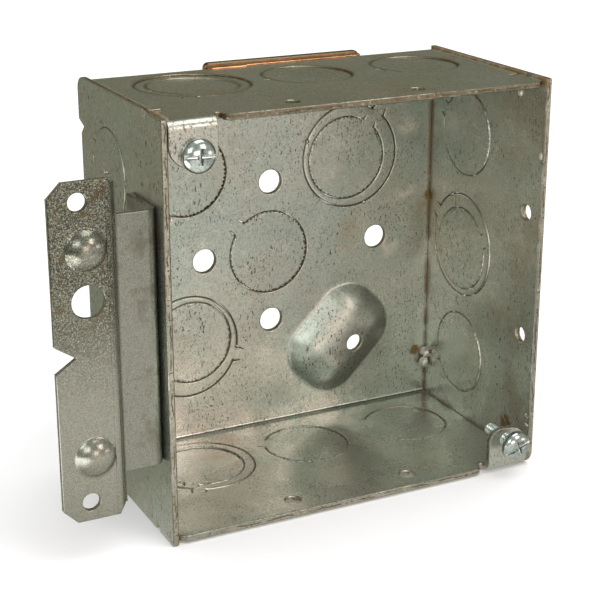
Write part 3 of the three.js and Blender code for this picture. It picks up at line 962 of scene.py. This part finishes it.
# ---- materials ----
class Shader:
    """A short way to write a node material. Positions are in millimetres in the row frame."""

    def __init__(self, name):
        self.material = bpy.data.materials.new(name)
        self.material.use_nodes = True
        self.nodes = self.material.node_tree.nodes
        self.links = self.material.node_tree.links
        self.surface = self.nodes["Principled BSDF"]
        coordinates = self.nodes.new("ShaderNodeTexCoord")
        scale = self.nodes.new("ShaderNodeVectorMath")
        scale.operation = "SCALE"
        scale.inputs["Scale"].default_value = 1 / MM
        self.links.new(coordinates.outputs["Object"], scale.inputs[0])
        self.place = scale.outputs[0]

    def feed(self, socket, value):
        if isinstance(value, bpy.types.NodeSocket):
            self.links.new(value, socket)
        else:
            socket.default_value = value

    def math(self, operation, *values, clamp=False):
        node = self.nodes.new("ShaderNodeMath")
        node.operation = operation
        node.use_clamp = clamp
        for socket, value in zip(node.inputs, values):
            self.feed(socket, value)
        return node.outputs[0]

    def times(self, first, second):
        return self.math("MULTIPLY", first, second)

    def plus(self, first, second):
        return self.math("ADD", first, second)

    def minus(self, first, second):
        return self.math("SUBTRACT", first, second)

    def most(self, first, second):
        return self.math("MAXIMUM", first, second)

    def size_of(self, value):
        return self.math("ABSOLUTE", value)

    def stretched(self, scale, turn=(0, 0, 0)):
        """The place, turned and scaled by a different amount along each axis."""
        node = self.nodes.new("ShaderNodeMapping")
        self.links.new(self.place, node.inputs["Vector"])
        node.inputs["Rotation"].default_value = turn
        node.inputs["Scale"].default_value = scale
        return node.outputs[0]

    def noise(self, size, detail=2.0, place=None, roughness=0.5):
        """Noise whose lumps are about `size` millimetres across."""
        node = self.nodes.new("ShaderNodeTexNoise")
        self.links.new(place or self.place, node.inputs["Vector"])
        node.inputs["Scale"].default_value = 1 / size
        node.inputs["Detail"].default_value = detail
        node.inputs["Roughness"].default_value = roughness
        return node.outputs["Fac"]

    def step(self, value, low, high):
        """0 below low, 1 above high, smooth between; low may be the larger."""
        node = self.nodes.new("ShaderNodeMapRange")
        node.interpolation_type = "SMOOTHSTEP"
        self.feed(node.inputs["Value"], value)
        if low < high:
            node.inputs["From Min"].default_value = low
            node.inputs["From Max"].default_value = high
        else:
            node.inputs["From Min"].default_value = high
            node.inputs["From Max"].default_value = low
            node.inputs["To Min"].default_value = 1.0
            node.inputs["To Max"].default_value = 0.0
        return node.outputs["Result"]

    def mix(self, share, first, second):
        node = self.nodes.new("ShaderNodeMix")
        node.data_type = "RGBA"
        self.feed(node.inputs["Factor"], share)
        self.feed(node.inputs["A"], first if isinstance(first, bpy.types.NodeSocket) else (*first, 1))
        self.feed(node.inputs["B"], second if isinstance(second, bpy.types.NodeSocket) else (*second, 1))
        return node.outputs["Result"]

    def near(self, centre, radius):
        """1 at a point, falling to 0 at a radius."""
        node = self.nodes.new("ShaderNodeVectorMath")
        node.operation = "DISTANCE"
        self.links.new(self.place, node.inputs[0])
        node.inputs[1].default_value = centre
        return self.step(node.outputs["Value"], radius, radius * 0.2)

    def distance(self, centre, axes):
        """How far a place is from a centre, counting only the axes marked 1."""
        flat = self.nodes.new("ShaderNodeVectorMath")
        flat.operation = "MULTIPLY"
        self.links.new(self.place, flat.inputs[0])
        flat.inputs[1].default_value = axes
        node = self.nodes.new("ShaderNodeVectorMath")
        node.operation = "DISTANCE"
        self.links.new(flat.outputs[0], node.inputs[0])
        node.inputs[1].default_value = [c * axis for c, axis in zip(centre, axes)]
        return node.outputs["Value"]

    def attribute(self, name):
        node = self.nodes.new("ShaderNodeAttribute")
        node.attribute_name = name
        return node.outputs["Fac"]

    def bump(self, height, distance, strength, below=None):
        node = self.nodes.new("ShaderNodeBump")
        node.inputs["Distance"].default_value = distance * MM
        node.inputs["Strength"].default_value = strength
        self.feed(node.inputs["Height"], height)
        if below:
            self.links.new(below, node.inputs["Normal"])
        return node.outputs["Normal"]

    def axis(self, index):
        if not hasattr(self, "split"):
            self.split = self.nodes.new("ShaderNodeSeparateXYZ")
            self.links.new(self.place, self.split.inputs[0])
        return self.split.outputs[index]

    def finish(self, colour, roughness, normal, metallic=0.9):
        self.feed(self.surface.inputs["Base Color"], colour)
        self.feed(self.surface.inputs["Roughness"], roughness)
        self.feed(self.surface.inputs["Metallic"], metallic)
        self.feed(self.surface.inputs["Normal"], normal)
        return self.material


RUST = (0.17, 0.11, 0.035)
PIT = (0.06, 0.05, 0.035)
# A dark brown: painted shade with grime in the bends, and the dark front edges.
DARK_BROWN = (0.07, 0.055, 0.032)


def rust_spots(shader):
    """Rust round the welds, ragged with noise."""
    spots = [
        ((INNER, -1, 42), 6),
        ((INNER, -1.5, 10), 3),
        ((INNER - 3.5, -1.5, -36), 3),
        ((INNER - 1, FRONT + 10.7, HALF - 3), 3),
        ((INNER - 0.3, -43.5, -43), 5),
        ((-CHANNEL_HALF, FRONT + 10, HALF), 3.5),
    ]
    total = 0.0
    for centre, radius in spots:
        total = shader.most(total, shader.near(centre, radius))
    ragged = shader.times(shader.noise(1.6, 4), 1.3)
    return shader.step(shader.times(total, ragged), 0.22, 0.6)


def seam_rust(shader):
    """Brown lines where the side plates meet the channel."""
    away = shader.size_of(shader.axis(0))
    off_seam = shader.size_of(shader.minus(away, CHANNEL_HALF))
    line = shader.step(off_seam, 1.1, 0.3)
    high = shader.step(shader.size_of(shader.axis(2)), HALF - 3, HALF - 0.6)
    rear = shader.step(shader.axis(1), -3.2, -1.2)
    where = shader.most(high, rear)
    patchy = shader.step(shader.noise(6, 4), 0.34, 0.54)
    return shader.times(shader.times(line, where), patchy)


def back_painted_highlights(shader):
    """Three painted highlights on the right of the back wall, standing in for reflections of a light."""
    total = 0.0
    for x, z, radius in ((41.4, 30, 5), (41.5, 12.4, 4.5), (36, -3, 5)):
        total = shader.most(total, shader.near((x, -SHEET, z), radius))
    return shader.times(total, shader.step(shader.noise(4, 3), 0.35, 0.7))


def groove_stain(shader):
    """Brown stains along the grooves of the top's knockouts."""
    total = 0.0
    for knockout in knockouts.values():
        if knockout.wall == "top":
            away = shader.distance((*knockout.centre, HALF), (1, 1, 0))
            off_edge = shader.size_of(shader.minus(away, knockout.radius))
            total = shader.most(total, shader.step(off_edge, 0.9, 0.25))
    on_top = shader.step(shader.axis(2), HALF - 0.9, HALF - 0.5)
    patchy = shader.step(shader.noise(3, 3), 0.2, 0.55)
    return shader.times(shader.times(total, on_top), patchy)


def crease_shade_and_grime(shader):
    """Painted shade with some grime: dark lines along the inside of the bends."""
    inside = shader.step(shader.attribute("through"), 0.6, 0.7)
    low = shader.step(shader.size_of(shader.axis(2)), INNER - 0.6, INNER - 0.35)
    rear = shader.step(shader.axis(1), -SHEET - 0.6, -SHEET - 0.35)
    return shader.times(inside, shader.times(low, rear))


def paler(shader):
    """A mild paler tone low on the right and at the foot of the back.

    It stands in for light that the lamps here don't throw there, and isn't a known tone of the zinc.
    """
    right = shader.step(shader.axis(0), 22, 46)
    low = shader.step(shader.axis(2), 4, -24)
    inside = shader.step(shader.size_of(shader.axis(2)), HALF - 0.4, HALF - 0.8)
    in_front = shader.step(shader.axis(1), -0.4, -0.8)
    corner = shader.times(shader.times(right, low), shader.times(inside, in_front))
    left_foot = shader.near((-30, -SHEET, -44), 22)
    return shader.most(corner, left_foot)


def on_boss(shader):
    """1 on the ground-screw boss, falling to 0 just outside it."""
    return shader.step(shader.distance((BOSS_CENTRE.x, 0, BOSS_CENTRE.y), (1, 0, 1)), 17, 13)


def edge_wear(shader):
    """The rolled-over edges of both faces, broken up by noise."""
    through = shader.attribute("through")
    outer = shader.times(shader.step(through, 0.0, 0.03), shader.step(through, 0.4, 0.3))
    inner = shader.times(shader.step(through, 0.6, 0.7), shader.step(through, 1.0, 0.95))
    patchy = shader.step(shader.noise(4, 3), 0.2, 0.5)
    return shader.times(shader.most(outer, inner), patchy)


def pits(shader):
    """Short dark strokes and pin holes, thick in some places and thin in others."""
    streaks = shader.stretched((1.0, 1.0, 0.36), turn=(0, math.radians(18), 0))
    strokes = shader.step(shader.noise(0.52, 2, place=streaks), 0.61, 0.67)
    pins = shader.step(shader.noise(0.42, 2), 0.62, 0.68)
    clusters = shader.step(shader.noise(12, 3), 0.38, 0.6)
    spread = shader.plus(0.3, shader.times(clusters, 0.7))
    return shader.times(shader.most(strokes, pins), spread)


def zinc(name, edge_colour, edge_share):
    """Spangled zinc on steel: cloudy colour, clustered dark pits, rust at the welds and seams.

    Its rolled-over edges are dark brown along the front, and have a colour of their own elsewhere.
    """
    shader = Shader(name)
    clouds = shader.step(shader.noise(34, 4, roughness=0.6), 0.4, 0.6)
    colour = shader.mix(clouds, (0.50, 0.545, 0.485), (0.565, 0.55, 0.485))
    mottle = shader.noise(3.4, 4, roughness=0.6)
    colour = shader.mix(shader.step(mottle, 0.52, 0.7), colour, (0.65, 0.625, 0.565))
    grain = shader.noise(0.6, 5, roughness=0.7)
    colour = shader.mix(shader.step(grain, 0.58, 0.34), colour, (0.41, 0.44, 0.38))
    colour = shader.mix(shader.times(paler(shader), 0.34), colour, (0.85, 0.84, 0.78))
    pitted = pits(shader)
    colour = shader.mix(shader.times(pitted, 0.85), colour, PIT)
    # Painted highlights: pale patches on the right of the back wall.
    colour = shader.mix(shader.times(back_painted_highlights(shader), 0.8), colour, (0.86, 0.78, 0.70))
    at_side = shader.step(shader.axis(0), INNER - 1, INNER)
    near_rim = shader.times(at_side, shader.step(shader.axis(1), -38, -46))
    stain = shader.plus(shader.noise(15, 4, roughness=0.6), shader.times(near_rim, 0.1))
    stain = shader.step(stain, 0.56, 0.74)
    colour = shader.mix(shader.times(stain, 0.4), colour, (0.42, 0.30, 0.19))
    colour = shader.mix(shader.times(groove_stain(shader), 0.7), colour, (0.12, 0.085, 0.04))
    at_front = shader.step(shader.axis(1), FRONT + 1.4, FRONT + 1.1)
    edge_colour = shader.mix(at_front, edge_colour, DARK_BROWN)
    colour = shader.mix(shader.times(edge_wear(shader), edge_share), colour, edge_colour)
    # Painted shade, with some grime, along the inside of the bends.
    colour = shader.mix(shader.times(crease_shade_and_grime(shader), 0.85), colour, DARK_BROWN)
    rust = shader.most(rust_spots(shader), seam_rust(shader))
    colour = shader.mix(rust, colour, RUST)
    smudges = shader.step(shader.noise(24, 4, roughness=0.6), 0.4, 0.7)
    rough = shader.plus(0.2, shader.times(grain, 0.1))
    rough = shader.plus(rough, shader.times(smudges, 0.12))
    rough = shader.plus(rough, shader.times(on_boss(shader), 0.06))
    rough = shader.math("ADD", rough, shader.math("MULTIPLY", rust, 0.4), clamp=True)
    waves = shader.bump(shader.noise(20, 2), 1.0, 0.5)
    ripples = shader.bump(mottle, 0.12, 0.5, below=waves)
    fine = shader.bump(grain, 0.035, 0.5, below=ripples)
    dents = shader.bump(shader.times(pitted, -1.0), 0.06, 0.5, below=fine)
    metal = shader.minus(0.94, shader.times(rust, 0.8))
    return shader.finish(colour, rough, dents, metal)


def sheared(name):
    """The cut edge of the sheet: grey-gold, grainy and rust-flecked, most of all along the top."""
    shader = Shader(name)
    grain = shader.noise(0.5, 4, roughness=0.7)
    tone = shader.step(shader.noise(5, 3), 0.35, 0.65)
    colour = shader.mix(tone, (0.46, 0.43, 0.36), (0.33, 0.31, 0.24))
    between = shader.step(shader.size_of(shader.axis(0)), CHANNEL_HALF + 0.2, CHANNEL_HALF - 0.2)
    along_top = shader.times(shader.step(shader.axis(2), HALF - 3, HALF - 1.5), between)
    colour = shader.mix(shader.times(along_top, 0.85), colour, (0.17, 0.13, 0.07))
    uppermost = shader.step(shader.axis(2), PLATE_TOP - 0.25, PLATE_TOP - 0.1)
    colour = shader.mix(shader.times(uppermost, 0.7), colour, (0.15, 0.115, 0.06))
    shine = shader.step(shader.noise(0.9, 4, roughness=0.7), 0.56, 0.66)
    colour = shader.mix(shader.times(shine, 0.8), colour, (0.72, 0.66, 0.54))
    wander = shader.times(shader.minus(shader.noise(3, 3), 0.5), 0.9)
    through = shader.plus(shader.attribute("through"), wander)
    off_line = shader.size_of(shader.minus(through, 0.5))
    line = shader.step(off_line, 0.16, 0.04)
    patchy = shader.step(shader.noise(4, 4), 0.42, 0.56)
    colour = shader.mix(shader.times(line, patchy), colour, (0.12, 0.095, 0.06))
    flecks = shader.step(shader.noise(0.7, 4), 0.56, 0.66)
    colour = shader.mix(flecks, colour, (0.09, 0.07, 0.036))
    bumps = shader.bump(grain, 0.08, 0.6)
    rough = shader.plus(0.28, shader.times(grain, 0.2))
    return shader.finish(colour, rough, bumps, 0.85)


def bracket_zinc():
    """Zinc on the bracket, plain below and dark above, speckled with bright and brown grains."""
    shader = Shader("bracket_zinc")
    speckle = shader.noise(0.34, 4, roughness=0.75)
    plain = shader.mix(shader.step(speckle, 0.38, 0.62), (0.25, 0.255, 0.212), (0.37, 0.36, 0.31))
    dark = shader.mix(shader.step(speckle, 0.44, 0.62), (0.06, 0.062, 0.042), (0.33, 0.325, 0.26))
    dark = shader.mix(shader.step(shader.noise(2.4, 3), 0.56, 0.7), dark, (0.11, 0.085, 0.05))
    height = shader.plus(shader.axis(2), shader.times(shader.noise(9, 3), 18))
    left = shader.step(shader.axis(0), -60.5, -63.5)
    where = shader.times(shader.step(height, -6, 28), left)
    for side in (1, -1):
        dome = shader.near((DIMPLE.x, FRONT, side * DIMPLE.y), DIMPLE_RADIUS * 1.25)
        where = shader.times(where, shader.minus(1.0, shader.times(dome, 0.75)))
    web = shader.mix(shader.step(speckle, 0.38, 0.62), (0.205, 0.215, 0.185), (0.315, 0.31, 0.26))
    web = shader.mix(shader.step(shader.noise(6, 4, roughness=0.6), 0.5, 0.7), web, (0.19, 0.18, 0.145))
    web = shader.mix(shader.times(pits(shader), 0.3), web, PIT)
    plain = shader.mix(shader.step(shader.axis(0), -63, -60), plain, web)
    colour = shader.mix(where, plain, dark)
    scratches = shader.stretched((1.0, 1.0, 0.08))
    lines = shader.step(shader.noise(0.8, 2, place=scratches), 0.62, 0.7)
    colour = shader.mix(shader.times(lines, 0.25), colour, (0.16, 0.155, 0.13))
    sparkle = shader.step(shader.noise(0.4, 3, roughness=0.75), 0.6, 0.68)
    sparkle = shader.times(sparkle, shader.plus(0.12, shader.times(where, 0.7)))
    colour = shader.mix(sparkle, colour, (0.9, 0.89, 0.8))
    rough = shader.plus(0.15, shader.times(speckle, 0.12))
    waves = shader.bump(shader.noise(14, 2), 1.0, 0.2)
    fine = shader.bump(speckle, 0.03, 0.3, below=waves)
    return shader.finish(colour, rough, fine, 0.92)


def tinted():
    """Copper-tinted zinc, dark olive along its top."""
    shader = Shader("tinted_zinc")
    colour = shader.mix(shader.step(shader.noise(5, 3), 0.4, 0.6), (0.8, 0.42, 0.21), (0.56, 0.28, 0.13))
    upper = shader.step(shader.axis(2), HALF + 0.3, HALF + 0.45)
    behind = shader.step(shader.axis(1), -0.1, 0.15)
    colour = shader.mix(shader.times(upper, behind), colour, (0.15, 0.135, 0.08))
    grain = shader.noise(0.9, 4)
    fine = shader.bump(grain, 0.04, 0.4)
    return shader.finish(colour, shader.plus(0.12, shader.times(grain, 0.12)), fine, 0.95)


def weld_metal():
    """Bright metal of the welds, dull and rusty in patches."""
    shader = Shader("weld_metal")
    patches = shader.step(shader.noise(1.6, 3), 0.58, 0.7)
    colour = shader.mix(patches, (0.85, 0.8, 0.72), RUST)
    rough = shader.plus(0.3, shader.times(patches, 0.3))
    lumps = shader.bump(shader.noise(1.2, 3), 0.3, 0.5)
    return shader.finish(colour, rough, lumps, 0.75)


def screw_metal():
    shader = Shader("screw_zinc")
    grain = shader.noise(0.7, 4)
    colour = shader.mix(shader.step(grain, 0.35, 0.7), (0.58, 0.63, 0.61), (0.43, 0.47, 0.45))
    colour = shader.mix(shader.step(shader.noise(1.3, 3), 0.62, 0.74), colour, (0.2, 0.17, 0.12))
    fine = shader.bump(grain, 0.03, 0.35)
    return shader.finish(colour, shader.plus(0.1, shader.times(grain, 0.1)), fine, 1.0)


# ---- the assembly ----
galvanised = zinc("galvanised", (0.5, 0.42, 0.3), 0.6)
galvanised_blank = zinc("galvanised_blank", (0.74, 0.72, 0.63), 0.5)
cut_edge = sheared("cut_edge")
bracket_metal = bracket_zinc()
tinted_metal = tinted()
weld = weld_metal()
bright_zinc = screw_metal()

WALL_METALS = (galvanised, cut_edge)
dress(build_channel(), "root", ["box_channel"], WALL_METALS)
dress(build_right_plate(), "root", ["side_plate_right"], WALL_METALS)
dress(build_left_plate(), "root", ["side_plate_left"], WALL_METALS)
dress(build_bracket(), "root", ["stud_bracket"], (bracket_metal, cut_edge))
dress(build_strip(), "root", ["rear_top_strip"], (tinted_metal, tinted_metal))
for node, knockout in knockouts.items():
    dress(build_knockout(knockout), node, [node], (galvanised_blank, galvanised_blank))
for node, turn in (("cover_screw_upper", 3), ("cover_screw_lower", -20)):
    dress(build_screw(node, turn), node, [node], (bright_zinc,))
build_details(weld, galvanised, tinted_metal)


# ---- stage ----
def build_floor():
    size = 4.0
    mesh = bpy.data.meshes.new("floor")
    bm = bmesh.new()
    level = -PLATE_TOP * MM
    points = [(-size, -size), (size, -size), (size, size), (-size, size)]
    bm.faces.new([bm.verts.new((x, y, level)) for x, y in points])
    bm.to_mesh(mesh)
    bm.free()
    floor = bpy.data.objects.new("floor", mesh)
    bpy.context.scene.collection.objects.link(floor)
    mesh.materials.append(floor_material())


def floor_material():
    """Pale paper to the camera and to diffuse light, but staged tones where the metal mirrors it.

    With a plain floor and room the metal renders far too bright. Feeding 0 to the factor of the blend,
    in place of the glossy test, gives a plain floor.
    """
    shader = Shader("floor")
    paper = shader.plus(0.9, shader.times(shader.noise(60), 0.02))
    tone = shader.nodes.new("ShaderNodeCombineColor")
    for socket in tone.inputs[:3]:
        shader.links.new(paper, socket)
    material = shader.finish(tone.outputs[0], 0.8, shader.bump(shader.noise(2), 0.05, 0.1), 0.0)
    mirrored = shader.nodes.new("ShaderNodeEmission")
    behind = shader.step(shader.axis(1), FRONT - 60, FRONT + 60)
    off_middle = shader.size_of(shader.plus(shader.axis(0), 20))
    in_front = shader.mix(shader.step(off_middle, 110, 30), (0.52, 0.52, 0.475), (1.05, 1.03, 0.96))
    left = shader.step(shader.axis(0), -110, -200)
    in_front = shader.mix(left, in_front, (0.25, 0.25, 0.2))
    to_right = shader.step(shader.axis(0), 60, 130)
    far_right = shader.times(to_right, shader.step(shader.axis(1), -190, -290))
    in_front = shader.mix(far_right, in_front, (0.8, 0.77, 0.72))
    patch = shader.step(shader.distance((-165, -110, 0), (1, 1, 0)), 95, 60)
    in_front = shader.mix(patch, in_front, (3.2, 3.2, 3.1))
    tint = shader.mix(behind, in_front, (0.27, 0.27, 0.2))
    shader.links.new(tint, mirrored.inputs["Color"])
    path = shader.nodes.new("ShaderNodeLightPath")
    blend = shader.nodes.new("ShaderNodeMixShader")
    shader.links.new(path.outputs["Is Glossy Ray"], blend.inputs[0])
    shader.links.new(shader.surface.outputs[0], blend.inputs[1])
    shader.links.new(mirrored.outputs[0], blend.inputs[2])
    shader.links.new(blend.outputs[0], shader.nodes["Material Output"].inputs["Surface"])
    return material


def from_direction(azimuth, elevation, distance):
    """A place round the box: azimuth 0 is in front of the opening, 90 to its right."""
    a, e = math.radians(azimuth), math.radians(elevation)
    centre = Vector((0, FRONT / 2, 0))
    return centre + distance * Vector((math.sin(a) * math.cos(e), -math.cos(a) * math.cos(e), math.sin(e)))


def softbox(name, azimuth, elevation, distance, width, height, radiance, colour=(1, 1, 1)):
    """A rectangular lamp facing the box, as bright as `radiance` seen from there."""
    data = bpy.data.lights.new(name, "AREA")
    data.shape = "RECTANGLE"
    data.size = width * MM
    data.size_y = height * MM
    data.energy = radiance * math.pi * data.size * data.size_y
    data.color = colour
    light = bpy.data.objects.new(name, data)
    light.location = from_direction(azimuth, elevation, distance) * MM
    aim = Vector((0, FRONT / 2, 0)) * MM - light.location
    light.rotation_euler = aim.to_track_quat("-Z", "Y").to_euler()
    bpy.context.scene.collection.objects.link(light)


def build_world():
    """A pale room to the camera and to diffuse light, but a dark olive one where the metal mirrors it."""
    world = bpy.data.worlds.new("studio")
    bpy.context.scene.world = world
    world.use_nodes = True
    nodes, links = world.node_tree.nodes, world.node_tree.links
    background = nodes["Background"]
    direction = nodes.new("ShaderNodeTexCoord")
    split = nodes.new("ShaderNodeSeparateXYZ")
    links.new(direction.outputs["Generated"], split.inputs[0])
    rearward = nodes.new("ShaderNodeMapRange")
    rearward.inputs["From Min"].default_value = -0.5
    rearward.inputs["From Max"].default_value = 0.3
    links.new(split.outputs["Y"], rearward.inputs["Value"])
    mirrored = nodes.new("ShaderNodeMix")
    mirrored.data_type = "RGBA"
    mirrored.inputs["A"].default_value = (0.46, 0.5, 0.44, 1)
    mirrored.inputs["B"].default_value = (0.17, 0.16, 0.1, 1)
    links.new(rearward.outputs["Result"], mirrored.inputs["Factor"])
    path = nodes.new("ShaderNodeLightPath")
    mix = nodes.new("ShaderNodeMix")
    mix.data_type = "RGBA"
    mix.inputs["A"].default_value = (1.25, 1.25, 1.25, 1)
    links.new(mirrored.outputs["Result"], mix.inputs["B"])
    links.new(path.outputs["Is Glossy Ray"], mix.inputs["Factor"])
    links.new(mix.outputs["Result"], background.inputs["Color"])


CAMERA_PLACE = Vector((-165.3, -349.4, 119.6))
CAMERA_TILT, CAMERA_TURN = math.radians(70.9), math.radians(-26.58)
CAMERA_LENS, CAMERA_SENSOR = 90.15, 36
NEAREST_SEEN = 10


def build_camera():
    data = bpy.data.cameras.new("camera")
    data.lens = CAMERA_LENS
    data.sensor_width = CAMERA_SENSOR
    data.clip_start = NEAREST_SEEN * MM
    camera = bpy.data.objects.new("camera", data)
    camera.location = CAMERA_PLACE * MM
    camera.rotation_euler = (CAMERA_TILT, 0, CAMERA_TURN)
    bpy.context.scene.collection.objects.link(camera)
    bpy.context.scene.camera = camera


build_floor()
build_world()
build_camera()
softbox("key_light", -30, 21, 800, 330, 270, 2.5)
softbox("front_light", 26, 23, 700, 190, 210, 4.2, (1, 0.8, 0.79))
softbox("low_light", 3, 3, 700, 230, 150, 2.9, (1, 0.76, 0.68))
softbox("warm_light", 48, -2, 800, 200, 120, 3.4, (1, 0.8, 0.7))
softbox("high_light", 28, 63, 800, 500, 400, 2.6)
bpy.context.scene.view_settings.view_transform = "Standard"
